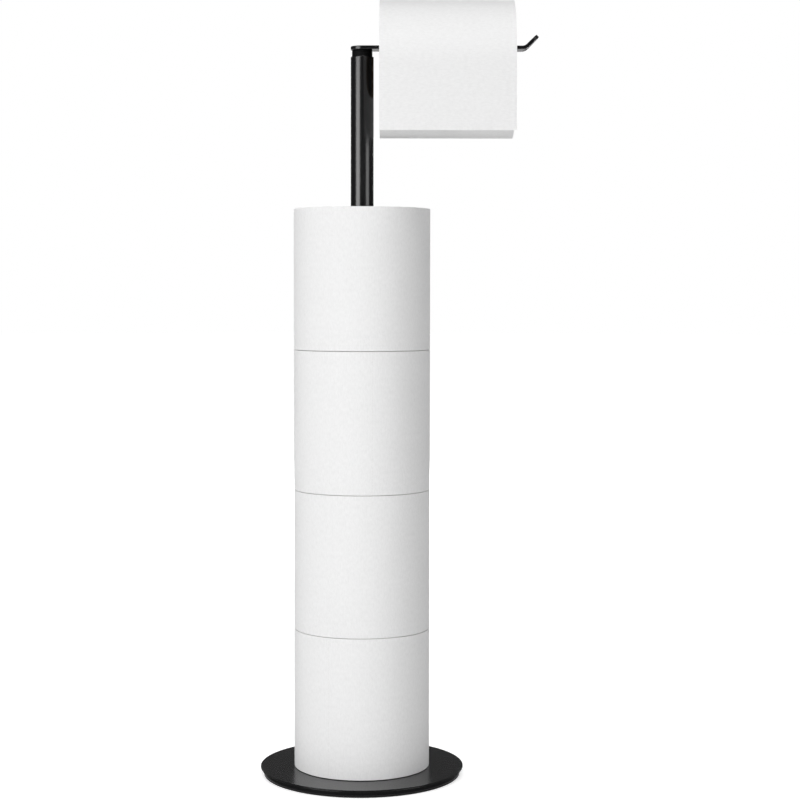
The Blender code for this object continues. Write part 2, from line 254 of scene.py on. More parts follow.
def pick(piece, kind, chosen):
    """Select the vertices, edges or faces of an edited piece that a test chooses."""
    bpy.ops.mesh.select_mode(type=kind)
    bpy.ops.mesh.select_all(action="DESELECT")
    bm = bmesh.from_edit_mesh(piece.data)
    bm.normal_update()
    elements = {"VERT": bm.verts, "EDGE": bm.edges, "FACE": bm.faces}[kind]
    found = [element for element in elements if chosen(element)]
    if not found:
        raise RuntimeError(f"nothing to select on {piece.name}")
    for element in found:
        element.select_set(True)
    bm.select_flush_mode()
    bmesh.update_edit_mesh(piece.data)


def rims(*circles):
    """A test for the edges of circles round Z, each given by its radius and its height."""
    def chosen(edge):
        return any(all(abs(hypot(vert.co.x, vert.co.y) - radius) < 2 * TOUCH
                       and abs(vert.co.z - height) < TOUCH for vert in edge.verts)
                   for radius, height in circles)
    return chosen


def faces_up(face):
    return face.normal.z > UPRIGHT


def faces_down(face):
    return face.normal.z < -UPRIGHT


def flat_ends(face):
    return abs(face.normal.z) > UPRIGHT


def stretch(lengths, middle):
    """Scale the whole edited piece about its middle."""
    bpy.ops.mesh.select_mode(type="VERT")
    bpy.ops.mesh.select_all(action="SELECT")
    bpy.ops.transform.resize(value=lengths, center_override=middle)


def extrude(rise):
    """Extrude what is selected along Z."""
    bpy.ops.mesh.extrude_region_move(TRANSFORM_OT_translate={"value": (0, 0, rise)})


def widen(factor, height):
    """Scale what is selected round Z, at a height."""
    bpy.ops.transform.resize(value=(factor, factor, 1), center_override=(0, 0, height))


def cut_through(place, direction):
    """Add a loop of edges where a plane meets the whole piece."""
    bpy.ops.mesh.select_all(action="SELECT")
    bpy.ops.mesh.bisect(plane_co=place, plane_no=direction)


def round_off(piece, chosen, size, segments=3):
    """Round the edges that a test chooses."""
    pick(piece, "EDGE", chosen)
    bpy.ops.mesh.bevel(offset=size, segments=segments, affect="EDGES")


def ring(outer, inner, low, high, sides):
    """A flat ring or a tube round Z: a cylinder whose ends are inset and bridged into a bore."""
    piece = cylinder(outer, low, high, sides)
    pick(piece, "FACE", flat_ends)
    bpy.ops.mesh.inset(thickness=outer - inner)
    bpy.ops.mesh.bridge_edge_loops()
    return piece


def apply_modifier(piece, kind, **settings):
    """Add a modifier with its settings and apply it. The piece is in object mode."""
    bpy.context.view_layer.objects.active = piece
    modifier = piece.modifiers.new(kind.lower(), kind)
    for name, value in settings.items():
        setattr(modifier, name, value)
    bpy.ops.object.modifier_apply(modifier=modifier.name)


def cut_out(piece, tool):
    """Cut one piece's shape out of another and throw the tool away."""
    apply_modifier(piece, "BOOLEAN", operation="DIFFERENCE", solver="EXACT", object=tool)
    bpy.data.objects.remove(tool, do_unlink=True)


def close(piece):
    """Leave edit mode with the normals outwards."""
    bpy.ops.mesh.select_all(action="SELECT")
    bpy.ops.mesh.normals_make_consistent(inside=False)
    bpy.ops.object.mode_set(mode="OBJECT")


def smooth(piece):
    """Shade round shapes smooth and keep flat faces flat right up to their rounded edges."""
    choose(piece)
    bpy.ops.object.shade_smooth_by_angle(angle=SMOOTH_ANGLE)
    apply_modifier(piece, "WEIGHTED_NORMAL", keep_sharp=True)


def place(piece, matrix):
    """Turn and move a finished piece, and put its place into its mesh."""
    piece.matrix_world = matrix
    choose(piece)
    bpy.ops.object.transform_apply(location=True, rotation=True, scale=True)


def copy_of(piece):
    """A copy with its own mesh."""
    choose(piece)
    bpy.ops.object.duplicate(linked=False)
    return bpy.context.active_object


def unrolled_map(mesh):
    """Give a mesh one UV map, for places on its unrolled sheet or board in metres."""
    while mesh.uv_layers:
        mesh.uv_layers.remove(mesh.uv_layers[0])
    return mesh.uv_layers.new(name="unrolled").data


def hand_over(piece, name, body, nodes, material=None):
    """Name a finished piece, dress it, and let it ride in place of its CAD nodes."""
    piece.name = name
    piece.data.name = name
    if material is not None:
        piece.data.materials.append(material)
    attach(piece, body)
    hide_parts(*nodes)


# Materials

def made_once(paint):
    """Let a function that fills a node tree give its material, which is made at the first call
    and named as the function is."""
    @wraps(paint)
    def material():
        found = bpy.data.materials.get(paint.__name__)
        if found is None:
            found = bpy.data.materials.new(paint.__name__)
            found.use_nodes = True
            paint(found.node_tree, found.node_tree.nodes["Principled BSDF"])
        return found
    return material


def fill(tree, node, inputs):
    """Set or link the inputs of a node that are named or numbered."""
    for key, value in inputs.items():
        if isinstance(value, bpy.types.NodeSocket):
            tree.links.new(value, node.inputs[key])
        else:
            node.inputs[key].default_value = value


def add(tree, kind, inputs=None, **fields):
    """Add a node, set its fields, and set or link its inputs."""
    node = tree.nodes.new(kind)
    for name, value in fields.items():
        setattr(node, name, value)
    fill(tree, node, inputs or {})
    return node


@made_once
def black_powder_coat(tree, shader):
    """Satin black polyester powder coat, sprayed on steel and baked: a deep black with a soft
    mirror, a faint orange peel and a very fine grit."""
    peel_size = 0.002
    grit_size = 0.0003
    cloud_size = 0.04
    cloud_lift = 1.35
    colour = tuple(bpy.context.scene.holder_colours.coat)
    lighter = tuple(part * cloud_lift for part in colour[:3]) + (1,)
    where = add(tree, "ShaderNodeTexCoord").outputs["Object"]
    peel = add(tree, "ShaderNodeTexNoise", {"Vector": where, "Scale": 1 / peel_size, "Detail": 1.0})
    grit = add(tree, "ShaderNodeTexNoise", {"Vector": where, "Scale": 1 / grit_size, "Detail": 2.0})
    cloud = add(tree, "ShaderNodeTexNoise", {"Vector": where, "Scale": 1 / cloud_size, "Detail": 2.0})
    shade = add(tree, "ShaderNodeMix", {
        "Factor": cloud.outputs["Fac"], "A": colour, "B": lighter}, data_type="RGBA")
    gloss = add(tree, "ShaderNodeMapRange", {"Value": grit.outputs["Fac"], "To Min": 0.20, "To Max": 0.28})
    ripple = add(tree, "ShaderNodeBump", {
        "Height": peel.outputs["Fac"], "Strength": 0.10, "Distance": 0.0001})
    grain = add(tree, "ShaderNodeBump", {
        "Height": grit.outputs["Fac"], "Strength": 0.12, "Distance": 0.00003,
        "Normal": ripple.outputs["Normal"]})
    fill(tree, shader, {
        "Base Color": shade.outputs["Result"], "Roughness": gloss.outputs["Result"],
        "Normal": grain.outputs["Normal"], "IOR": 1.5})


@made_once
def black_foam_rubber(tree, shader):
    """Closed-cell foam rubber, cut from sheet: matt black with fine open cells."""
    # Cells of 0.15 mm are drawn at 0.6 mm so that they show
    cell_size = 0.0006
    where = add(tree, "ShaderNodeTexCoord").outputs["Object"]
    cells = add(tree, "ShaderNodeTexVoronoi", {"Vector": where, "Scale": 1 / cell_size})
    shade = add(tree, "ShaderNodeMix", {
        "Factor": cells.outputs["Distance"], "A": linear("#0E0E0E"),
        "B": linear("#1E1E1F")}, data_type="RGBA")
    pores = add(tree, "ShaderNodeBump", {
        "Height": cells.outputs["Distance"], "Strength": 0.5, "Distance": 0.0001})
    fill(tree, shader, {
        "Base Color": shade.outputs["Result"], "Normal": pores.outputs["Normal"], "Roughness": 0.92})


@made_once
def zinc_plated_steel(tree, shader):
    """Bright zinc plating on turned steel: cool grey metal with fine turning lines."""
    # Turning lines of 0.1 mm are drawn at 0.3 mm. The texture repeats every 2 pi / 20.
    line_pitch = 0.0003
    cloud_size = 0.003
    where = add(tree, "ShaderNodeTexCoord").outputs["Object"]
    lines = add(tree, "ShaderNodeTexWave", {
        "Vector": where, "Scale": pi / 10 / line_pitch,
        "Distortion": 0.4}, wave_type="BANDS", bands_direction="Z")
    cloud = add(tree, "ShaderNodeTexNoise", {"Vector": where, "Scale": 1 / cloud_size, "Detail": 3.0})
    shade = add(tree, "ShaderNodeMix", {
        "Factor": cloud.outputs["Fac"], "A": linear("#B9BDC2"), "B": linear("#CFD2D5")}, data_type="RGBA")
    gloss = add(tree, "ShaderNodeMapRange", {"Value": cloud.outputs["Fac"], "To Min": 0.26, "To Max": 0.42})
    marks = add(tree, "ShaderNodeBump", {
        "Height": lines.outputs["Fac"], "Strength": 0.15, "Distance": 0.00003})
    fill(tree, shader, {
        "Base Color": shade.outputs["Result"], "Roughness": gloss.outputs["Result"],
        "Normal": marks.outputs["Normal"], "Metallic": 1.0})


@made_once
def black_oxide_steel(tree, shader):
    """Black oxide on an alloy steel screw, dipped hot: a dark brown-black metal, slightly oily."""
    cloud_size = 0.0008
    where = add(tree, "ShaderNodeTexCoord").outputs["Object"]
    cloud = add(tree, "ShaderNodeTexNoise", {"Vector": where, "Scale": 1 / cloud_size, "Detail": 3.0})
    shade = add(tree, "ShaderNodeMix", {
        "Factor": cloud.outputs["Fac"], "A": linear("#232224"), "B": linear("#37353A")}, data_type="RGBA")
    gloss = add(tree, "ShaderNodeMapRange", {"Value": cloud.outputs["Fac"], "To Min": 0.32, "To Max": 0.5})
    fill(tree, shader, {
        "Base Color": shade.outputs["Result"], "Roughness": gloss.outputs["Result"], "Metallic": 1.0})


@made_once
def black_nylon(tree, shader):
    """Black nylon 6, injection moulded: a dull sheen with a fine spark-eroded texture."""
    grain_size = 0.0002
    where = add(tree, "ShaderNodeTexCoord").outputs["Object"]
    grain = add(tree, "ShaderNodeTexNoise", {"Vector": where, "Scale": 1 / grain_size, "Detail": 2.0})
    shade = add(tree, "ShaderNodeMix", {
        "Factor": grain.outputs["Fac"], "A": linear("#080808"), "B": linear("#0D0D0E")}, data_type="RGBA")
    texture = add(tree, "ShaderNodeBump", {
        "Height": grain.outputs["Fac"], "Strength": 0.2, "Distance": 0.00003})
    fill(tree, shader, {
        "Base Color": shade.outputs["Result"], "Normal": texture.outputs["Normal"], "Roughness": 0.62,
        "Specular IOR Level": 0.08, "IOR": 1.53})


@made_once
def white_tissue(tree, shader):
    """Bleached two-ply tissue, creped on a drum and wound: matt white with fine crepe lines and
    soft creases along the roll, and perforations at each sheet."""
    # Fibres clump at about 3 mm
    clump_size = 0.003
    # Crepe lines of 0.2 mm run across the sheet, drawn at 1 mm so that they show
    crepe_scale = (1 / 0.001, 1 / 0.003, 1)
    # Soft creases from winding are about 4 mm apart and 25 mm long
    crease_scale = (1 / 0.004, 1 / 0.025, 1)
    # Perforations are a row of slits once a sheet
    slit_width = 0.00012
    slit_length = 0.0015
    slit_pitch = 0.0021
    colours = bpy.context.scene.holder_colours
    sheet_length = bpy.context.scene.holder_sizes.sheet_length

    # The unrolled map is in metres: U along the sheet, V across it
    unrolled = add(tree, "ShaderNodeUVMap", uv_map="unrolled").outputs["UV"]
    parts = add(tree, "ShaderNodeSeparateXYZ", {"Vector": unrolled})
    fibres = add(tree, "ShaderNodeTexNoise", {
        "Vector": unrolled, "Scale": 1 / clump_size, "Detail": 6.0, "Roughness": 0.7}, noise_dimensions="2D")
    creped = add(tree, "ShaderNodeMapping", {"Vector": unrolled, "Scale": crepe_scale})
    crepe = add(tree, "ShaderNodeTexNoise", {
        "Vector": creped.outputs["Vector"], "Scale": 1.0, "Detail": 2.0}, noise_dimensions="2D")
    creased = add(tree, "ShaderNodeMapping", {"Vector": unrolled, "Scale": crease_scale})
    creases = add(tree, "ShaderNodeTexNoise", {
        "Vector": creased.outputs["Vector"], "Scale": 1.0, "Detail": 2.0}, noise_dimensions="2D")
    along = add(tree, "ShaderNodeMath", {0: parts.outputs["X"], 1: sheet_length / 2}, operation="ADD")
    folded = add(tree, "ShaderNodeMath", {0: along.outputs[0], 1: sheet_length}, operation="PINGPONG")
    offset = add(tree, "ShaderNodeMath", {0: folded.outputs[0], 1: sheet_length / 2}, operation="SUBTRACT")
    distance = add(tree, "ShaderNodeMath", {0: offset.outputs[0]}, operation="ABSOLUTE")
    on_line = add(tree, "ShaderNodeMath", {0: distance.outputs[0], 1: slit_width / 2}, operation="LESS_THAN")
    across = add(tree, "ShaderNodeMath", {0: parts.outputs["Y"], 1: slit_pitch, 2: 0.0}, operation="WRAP")
    in_slit = add(tree, "ShaderNodeMath", {0: across.outputs[0], 1: slit_length}, operation="LESS_THAN")
    slit = add(tree, "ShaderNodeMath", {0: on_line.outputs[0], 1: in_slit.outputs[0]}, operation="MULTIPLY")

    cloud = add(tree, "ShaderNodeMath", {0: fibres.outputs["Fac"], 1: crepe.outputs["Fac"]}, operation="ADD")
    tone = add(tree, "ShaderNodeMapRange", {
        "Value": cloud.outputs[0], "From Min": 0.7, "From Max": 1.3, "To Max": 0.6})
    shade = add(tree, "ShaderNodeMix", {
        "Factor": tone.outputs["Result"], "A": tuple(colours.tissue),
        "B": tuple(colours.tissue_shade)}, data_type="RGBA")
    slitted = add(tree, "ShaderNodeMix", {
        "Factor": slit.outputs[0], "A": shade.outputs["Result"], "B": linear("#E2E1DF")}, data_type="RGBA")
    folds = add(tree, "ShaderNodeBump", {
        "Height": creases.outputs["Fac"], "Strength": 0.12, "Distance": 0.0002})
    lines = add(tree, "ShaderNodeBump", {
        "Height": crepe.outputs["Fac"], "Strength": 0.25, "Distance": 0.0001,
        "Normal": folds.outputs["Normal"]})
    fuzz = add(tree, "ShaderNodeBump", {
        "Height": fibres.outputs["Fac"], "Strength": 0.10, "Distance": 0.0002,
        "Normal": lines.outputs["Normal"]})
    fill(tree, shader, {
        "Base Color": slitted.outputs["Result"], "Normal": fuzz.outputs["Normal"], "Roughness": 1.0,
        "Specular IOR Level": 0.15, "Sheen Weight": 0.05, "Sheen Roughness": 0.6})


@made_once
def wound_tissue_edges(tree, shader):
    """The cut edges of the wound tissue at a roll's ends: fine rings of soft paper edges."""
    # Layers 0.25 mm apart are drawn at 0.7 mm, and they wander a little round the roll
    layer_scale = (1 / 0.035, 1 / 0.0007, 1)
    fluff_size = 0.0006
    tissue = tuple(bpy.context.scene.holder_colours.tissue)
    # On the ends the unrolled map holds the distance round the roll and the radius
    unrolled = add(tree, "ShaderNodeUVMap", uv_map="unrolled").outputs["UV"]
    stretched = add(tree, "ShaderNodeMapping", {"Vector": unrolled, "Scale": layer_scale})
    layers = add(tree, "ShaderNodeTexNoise", {
        "Vector": stretched.outputs["Vector"], "Scale": 1.0, "Detail": 3.0,
        "Roughness": 0.65}, noise_dimensions="2D")
    fluff = add(tree, "ShaderNodeTexNoise", {
        "Vector": unrolled, "Scale": 1 / fluff_size, "Detail": 3.0}, noise_dimensions="2D")
    tone = add(tree, "ShaderNodeMapRange", {
        "Value": layers.outputs["Fac"], "From Min": 0.36, "From Max": 0.62})
    shade = add(tree, "ShaderNodeMix", {
        "Factor": tone.outputs["Result"], "A": linear("#DCDBD9"), "B": tissue}, data_type="RGBA")
    rings = add(tree, "ShaderNodeBump", {
        "Height": layers.outputs["Fac"], "Strength": 0.6, "Distance": 0.0003})
    soft = add(tree, "ShaderNodeBump", {
        "Height": fluff.outputs["Fac"], "Strength": 0.4, "Distance": 0.0002,
        "Normal": rings.outputs["Normal"]})
    fill(tree, shader, {
        "Base Color": shade.outputs["Result"], "Normal": soft.outputs["Normal"], "Roughness": 1.0,
        "Specular IOR Level": 0.15})


@made_once
def spiral_core_board(tree, shader):
    """Recycled grey-brown board, wound in a spiral and glued: matt, with flecks and a spiral seam."""
    # Strips are wound at a slant, so a seam climbs across the core
    strip_width = 0.075
    strip_slant = 0.6
    seam_width = 0.0006
    pulp_size = 0.002
    fleck_size = 0.0006
    board = tuple(bpy.context.scene.holder_colours.board)
    unrolled = add(tree, "ShaderNodeUVMap", uv_map="unrolled").outputs["UV"]
    parts = add(tree, "ShaderNodeSeparateXYZ", {"Vector": unrolled})
    slant = add(tree, "ShaderNodeMath", {
        0: parts.outputs["X"], 1: strip_slant, 2: parts.outputs["Y"]}, operation="MULTIPLY_ADD")
    strip = add(tree, "ShaderNodeMath", {0: slant.outputs[0], 1: strip_width, 2: 0.0}, operation="WRAP")
    seam = add(tree, "ShaderNodeMath", {0: strip.outputs[0], 1: seam_width}, operation="LESS_THAN")
    pulp = add(tree, "ShaderNodeTexNoise", {
        "Vector": unrolled, "Scale": 1 / pulp_size, "Detail": 6.0, "Roughness": 0.7}, noise_dimensions="2D")
    flecks = add(tree, "ShaderNodeTexNoise", {
        "Vector": unrolled, "Scale": 1 / fleck_size, "Detail": 1.0}, noise_dimensions="2D")
    fleck = add(tree, "ShaderNodeMapRange", {
        "Value": flecks.outputs["Fac"], "From Min": 0.66, "From Max": 0.74})
    tone = add(tree, "ShaderNodeMapRange", {"Value": pulp.outputs["Fac"], "From Min": 0.35, "From Max": 0.65})
    shade = add(tree, "ShaderNodeMix", {
        "Factor": tone.outputs["Result"], "A": board, "B": linear("#95836B")}, data_type="RGBA")
    flecked = add(tree, "ShaderNodeMix", {
        "Factor": fleck.outputs["Result"], "A": shade.outputs["Result"],
        "B": linear("#7A6A55")}, data_type="RGBA")
    seamed = add(tree, "ShaderNodeMix", {
        "Factor": seam.outputs[0], "A": flecked.outputs["Result"], "B": linear("#6E5F4B")}, data_type="RGBA")
    rough = add(tree, "ShaderNodeBump", {"Height": pulp.outputs["Fac"], "Strength": 0.3, "Distance": 0.0001})
    fill(tree, shader, {
        "Base Color": seamed.outputs["Result"], "Normal": rough.outputs["Normal"], "Roughness": 0.93,
        "Specular IOR Level": 0.25})


# Base, post and arm

class HOLDER_OT_base(bpy.types.Operator):
    """Build the base: a soft pad, a steel weight and a thin cover that stands out over it"""
    bl_idname = "holder.base"
    bl_label = "Base"

    def execute(self, context):
        edge = context.scene.holder_sizes.metal_edge

        pad = cylinder(PAD_HIGH.x, PAD_LOW.z, PAD_HIGH.z, DISC_SIDES)
        pick(pad, "FACE", flat_ends)
        bpy.ops.mesh.inset(thickness=PAD_BORDER)
        round_off(pad, rims((PAD_HIGH.x, PAD_LOW.z)), edge)
        close(pad)
        smooth(pad)
        hand_over(pad, "foam_pad", "stand", ["floor_pad"], black_foam_rubber())

        # The weight has a recess for the bolt's head below and a hole right through
        weight = cylinder(WEIGHT_HIGH.x, WEIGHT_LOW.z, WEIGHT_HIGH.z, DISC_SIDES)
        pick(weight, "FACE", faces_down)
        bpy.ops.mesh.inset(thickness=WEIGHT_HIGH.x - BOLT_RECESS_RADIUS)
        extrude(BOLT_RECESS_DEPTH)
        bpy.ops.mesh.inset(thickness=BOLT_RECESS_RADIUS - BOLT_HOLE_RADIUS)
        pick(weight, "FACE", faces_up)
        bpy.ops.mesh.inset(thickness=WEIGHT_HIGH.x - BOLT_HOLE_RADIUS)
        pick(weight, "FACE", lambda face: flat_ends(face) and len(face.verts) == DISC_SIDES
             and face.calc_center_median().z > WEIGHT_LOW.z + TOUCH)
        bpy.ops.mesh.bridge_edge_loops()
        round_off(weight, rims((WEIGHT_HIGH.x, WEIGHT_LOW.z), (WEIGHT_HIGH.x, WEIGHT_HIGH.z)), 2 * edge)
        close(weight)
        smooth(weight)
        hand_over(weight, "weight_disc", "stand", ["base_weight"], black_powder_coat())

        cover = ring(COVER_HIGH.x, BOLT_HOLE_RADIUS, COVER_LOW.z, COVER_HIGH.z, DISC_SIDES)
        round_off(cover, rims((COVER_HIGH.x, COVER_LOW.z), (COVER_HIGH.x, COVER_HIGH.z)), edge)
        close(cover)
        smooth(cover)
        hand_over(cover, "cover_disc", "stand", ["base_cover"], black_powder_coat())
        return {"FINISHED"}


class HOLDER_OT_post(bpy.types.Operator):
    """Build the post, a thin round tube with a softened upper rim"""
    bl_idname = "holder.post"
    bl_label = "Post"

    def execute(self, context):
        bore = PLUG_HIGH.x + CLEARANCE
        post = ring(POST_HIGH.x, bore, POST_LOW.z, POST_HIGH.z, POST_SIDES)
        round_off(post, rims((POST_HIGH.x, POST_HIGH.z)), context.scene.holder_sizes.post_edge, segments=4)
        close(post)
        smooth(post)
        hand_over(post, "post", "stand", ["post_tube"], black_powder_coat())
        return {"FINISHED"}


class HOLDER_OT_plug(bpy.types.Operator):
    """Build the arm's plug, its nylon washer and the countersunk socket screw"""
    bl_idname = "holder.plug"
    bl_label = "Plug, washer and screw"

    def execute(self, context):
        edge = context.scene.holder_sizes.metal_edge

        plug = cylinder(PLUG_HIGH.x, PLUG_LOW.z, PLUG_HIGH.z, POST_SIDES)
        pick(plug, "FACE", faces_up)
        bpy.ops.mesh.inset(thickness=PLUG_HIGH.x - SCREW_HOLE_RADIUS)
        extrude(SCREW_LOW.z - PLUG_HIGH.z - CLEARANCE)
        round_off(plug, rims((PLUG_HIGH.x, PLUG_LOW.z), (PLUG_HIGH.x, PLUG_HIGH.z)), edge)
        close(plug)
        smooth(plug)
        hand_over(plug, "neck_plug", "arm_plug", ["arm_plug"], black_nylon())

        washer = ring(WASHER_HIGH.x, SCREW_HOLE_RADIUS, WASHER_LOW.z, WASHER_HIGH.z, POST_SIDES)
        round_off(washer, rims((WASHER_HIGH.x, WASHER_LOW.z), (WASHER_HIGH.x, WASHER_HIGH.z)), edge / 3,
                  segments=2)
        close(washer)
        smooth(washer)
        hand_over(washer, "nylon_washer", "arm_plug", ["swivel_washer"], black_nylon())

        screw = cylinder(SCREW_SHANK_RADIUS, SCREW_LOW.z, SCREW_HIGH.z - SCREW_CONE_HEIGHT, SMALL_SIDES)
        pick(screw, "FACE", faces_up)
        extrude(SCREW_CONE_HEIGHT)
        widen(SCREW_HIGH.x / SCREW_SHANK_RADIUS, SCREW_HIGH.z)
        round_off(screw, rims((SCREW_HIGH.x, SCREW_HIGH.z), (SCREW_SHANK_RADIUS, SCREW_LOW.z)), edge / 2)
        close(screw)
        socket = cylinder(SCREW_SOCKET_WIDTH / 2 / cos(pi / HEX_SIDES), SCREW_HIGH.z - SCREW_SOCKET_DEPTH,
                          SCREW_HIGH.z + SCREW_SOCKET_DEPTH, HEX_SIDES)
        close(socket)
        cut_out(screw, socket)
        smooth(screw)
        hand_over(screw, "socket_screw", "arm_plug", ["arm_screw"], black_oxide_steel())
        return {"FINISHED"}


class HOLDER_OT_arm(bpy.types.Operator):
    """Build the arm: a flat bar with round ends, bent up at its tip and countersunk at its head"""
    bl_idname = "holder.arm"
    bl_label = "Arm"

    def execute(self, context):
        sizes = context.scene.holder_sizes
        half_width = STRAP_HIGH.y
        top = SCREW_HIGH.z
        thickness = top - STRAP_LOW.z
        bend_inset = sizes.bend_radius * tan(sizes.tip_angle / 2)
        bend_start = ROLL_HIGH.x + ROLL_TO_BEND - bend_inset
        bend_length = sizes.bend_radius * sizes.tip_angle
        length = bend_start + bend_length + sizes.tip_length - bend_inset + half_width
        middle = (length / 2 - half_width, 0, top)

        strap = start("plane", size=1, location=middle)
        stretch((length, 2 * half_width, 1), middle)
        bpy.ops.mesh.bevel(offset=half_width, segments=ARM_END_STEPS, affect="VERTICES")
        bpy.ops.mesh.select_all(action="SELECT")
        bpy.ops.mesh.remove_doubles(threshold=TOUCH / 10)
        stations = [bend_start + bend_length * (step + 0.5) / BEND_STEPS for step in range(BEND_STEPS)]
        for station in stations:
            cut_through((station, 0, top), (1, 0, 0))
        bpy.ops.mesh.select_all(action="SELECT")
        extrude(-thickness)

        # The tip is bent over one station after the other, the last first
        turn = sizes.tip_angle / BEND_STEPS
        for station in reversed(stations):
            for reach in (station - TOUCH, station + TOUCH):
                pick(strap, "VERT", lambda vert: vert.co.x > reach)
                bpy.ops.transform.rotate(value=turn / 2, orient_axis="Y", center_override=(station, 0, top))
        bpy.ops.mesh.select_mode(type="EDGE")
        bpy.ops.mesh.select_all(action="SELECT")
        bpy.ops.mesh.normals_make_consistent(inside=False)
        bpy.ops.mesh.select_all(action="DESELECT")
        bpy.ops.mesh.edges_select_sharp(sharpness=SHARP_ANGLE)
        bpy.ops.mesh.bevel(offset=sizes.metal_edge, segments=3, affect="EDGES")
        close(strap)

        hole = cylinder(SCREW_HOLE_RADIUS, STRAP_LOW.z - OVERRUN, top - SCREW_CONE_HEIGHT, SMALL_SIDES)
        pick(hole, "FACE", faces_up)
        extrude(SCREW_CONE_HEIGHT + OVERRUN)
        widen((SCREW_HIGH.x + CLEARANCE + OVERRUN) / SCREW_HOLE_RADIUS, top + OVERRUN)
        close(hole)
        cut_out(strap, hole)
        smooth(strap)
        hand_over(strap, "arm_bar", "arm", ["arm_strap"], black_powder_coat())
        return {"FINISHED"}


# Rolls

def wind(roll, radius, bore, layer, seam):
    """Draw a roll's surface in by one layer over a full turn, so that a sheet's end shows at
    the seam, and lay the unrolled map over it."""
    mesh = roll.data

    def turned(co, near=None):
        turn = (atan2(co.y, co.x) - seam) % (2 * pi)
        if near is not None:
            turn += round((near - turn) / (2 * pi)) * 2 * pi
        return turn

    unrolled = unrolled_map(mesh)
    for polygon in mesh.polygons:
        near = turned(polygon.center)
        on_end = abs(polygon.normal.z) > UPRIGHT
        for index in polygon.loop_indices:
            co = mesh.vertices[mesh.loops[index].vertex_index].co
            arc = turned(co, near) * radius
            unrolled[index].uv = (arc, hypot(co.x, co.y)) if on_end else (arc, co.z)

    for vert in mesh.vertices:
        reach = hypot(vert.co.x, vert.co.y)
        share = max(0, (reach - bore) / (radius - bore))
        turn = turned(vert.co)
        if turn > 2 * pi - TOUCH:
            turn = 0
        factor = 1 - layer * share * turn / (2 * pi) / reach
        vert.co.x *= factor
        vert.co.y *= factor


def paper_roll(radius, bore, length, seed, layer, seam):
    """A wound roll that stands on the floor round Z: uneven rings of layers at the ends, rounded
    edges, a step at the seam, and a second material on its flat ends."""
    sizes = bpy.context.scene.holder_sizes
    chance = Random(seed)
    roll = cylinder(radius, 0, length, ROLL_SIDES)
    pick(roll, "FACE", flat_ends)
    ring_width = (radius - bore) / END_RINGS
    depth = 0
    for number in range(END_RINGS):
        sunk = 0 if number == 0 else -sizes.end_unevenness * chance.random()
        bpy.ops.mesh.inset(thickness=ring_width, depth=sunk - depth)
        depth = sunk
    bpy.ops.mesh.bridge_edge_loops()
    for band in range(1, ROLL_BANDS):
        cut_through((0, 0, length * band / ROLL_BANDS), (0, 0, 1))
    # A column of edges just before the seam makes the step there crisp
    beside = seam - SEAM_STEP / radius
    cut_through((0, 0, 0), (-sin(beside), cos(beside), 0))
    round_off(roll, rims((radius, 0), (radius, length)), sizes.roll_edge, segments=4)
    close(roll)
    wind(roll, radius, bore, layer, seam)

    choose(roll)
    roll.data.materials.append(white_tissue())
    roll.data.materials.append(wound_tissue_edges())
    bpy.ops.object.mode_set(mode="EDIT")
    pick(roll, "FACE", flat_ends)
    roll.active_material_index = 1
    bpy.ops.object.material_slot_assign()
    bpy.ops.object.mode_set(mode="OBJECT")
    smooth(roll)
    return roll


def core_tube(outer, length, seam):
    """A spiral-wound cardboard core that stands on the floor round Z."""
    wall = bpy.context.scene.holder_sizes.core_wall
    inner = outer - wall
    core = ring(outer, inner, 0, length, CORE_SIDES)
    round_off(core, rims((outer, 0), (outer, length), (inner, 0), (inner, length)), wall / 5, segments=2)
    close(core)
    wind(core, outer, 0, 0, seam)
    smooth(core)
    return core


class HOLDER_OT_reserve_rolls(bpy.types.Operator):
    """Wind one reserve roll on its core and stack its copies on the base, each turned its own way"""
    bl_idname = "holder.reserve_rolls"
    bl_label = "Reserve rolls"

    def execute(self, context):
        length = RESERVE_HIGH.z - RESERVE_LOW.z
        layer = RESERVE_LAYER * context.scene.holder_sizes.sheet_thickness
        roll = paper_roll(RESERVE_HIGH.x, RESERVE_CORE_HIGH.x + CORE_CLEARANCE, length, RESERVE_SEED, layer,
                          RESERVE_SEAM)
        core = core_tube(RESERVE_CORE_HIGH.x, length, RESERVE_SEAM)

        for number, turn in enumerate(RESERVE_TURNS, start=1):
            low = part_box(f"reserve_roll_{number}_paper")[0]
            where = Matrix.Translation((0, 0, low.z)) @ Matrix.Rotation(radians(turn), 4, "Z")
            body = f"reserve_roll_{number}"
            paper_copy = copy_of(roll)
            place(paper_copy, where)
            hand_over(paper_copy, f"{body}_tissue", body, [f"{body}_paper"])
            core_copy = copy_of(core)
            place(core_copy, where)
            hand_over(core_copy, f"{body}_board", body, [f"{body}_core"], spiral_core_board())
        for model in (roll, core):
            bpy.data.objects.remove(model, do_unlink=True)
        return {"FINISHED"}


